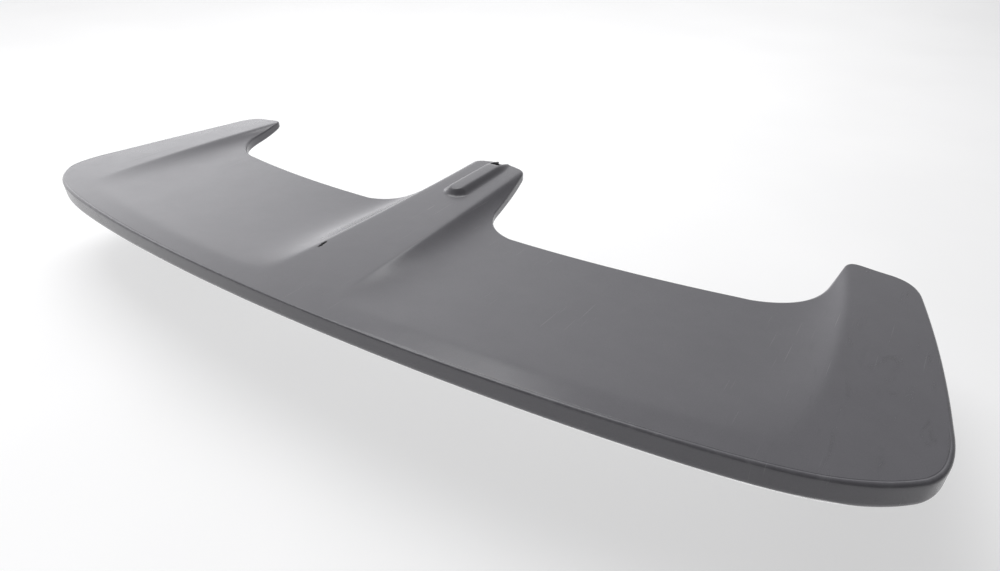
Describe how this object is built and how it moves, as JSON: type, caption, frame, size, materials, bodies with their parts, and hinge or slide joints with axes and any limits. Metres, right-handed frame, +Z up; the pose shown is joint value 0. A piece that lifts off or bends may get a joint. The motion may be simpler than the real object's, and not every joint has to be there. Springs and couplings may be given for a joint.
{
  "type": "roof spoiler",
  "caption": "Rear roof spoiler for a tailgate: a hollow moulding of bonded skins with a long rolled lip, forward legs, open windows and a raised channel on the centre leg.",
  "frame": {"origin": "middle of the centre leg's pair of threaded inserts, in the plane of their boss faces", "axes": "+X to the right along the lip, +Y forward from the lip to the leg tips, +Z up"},
  "size_m": [1.1866, 0.4265, 0.0608],
  "materials": {
    "primer_skin": "satin mid-grey primer over moulded plastic",
    "under_skin": "satin grey primer, thinner and duller underneath",
    "adhesive": "cured structural adhesive",
    "glass_laminate": "glass laminate over foam",
    "zinc_plate": "zinc plated",
    "rigid_foam": "rigid foam",
    "foam_tape": "acrylic foam tape",
    "insert_steel": "zinc plated steel",
    "gasket_foam": "closed-cell foam"
  },
  "bodies": {
    "root": {"upper_skin": "primer_skin", "lower_skin": "under_skin", "outer_bond_bead": "adhesive", "left_window_bond_bead": "adhesive", "right_window_bond_bead": "adhesive", "lip_stiffener": "glass_laminate", "left_inner_web": "glass_laminate", "left_outer_web": "glass_laminate", "right_inner_web": "glass_laminate", "right_outer_web": "glass_laminate", "left_leg_plate": "zinc_plate", "centre_leg_plate": "zinc_plate", "right_leg_plate": "zinc_plate", "left_leg_core": "rigid_foam", "centre_leg_core": "rigid_foam", "right_leg_core": "rigid_foam", "left_leg_tape": "foam_tape", "centre_leg_tape": "foam_tape", "right_leg_tape": "foam_tape", "m6_inserts": "insert_steel", "boss_gaskets": "gasket_foam"}
  },
  "joints": []
}
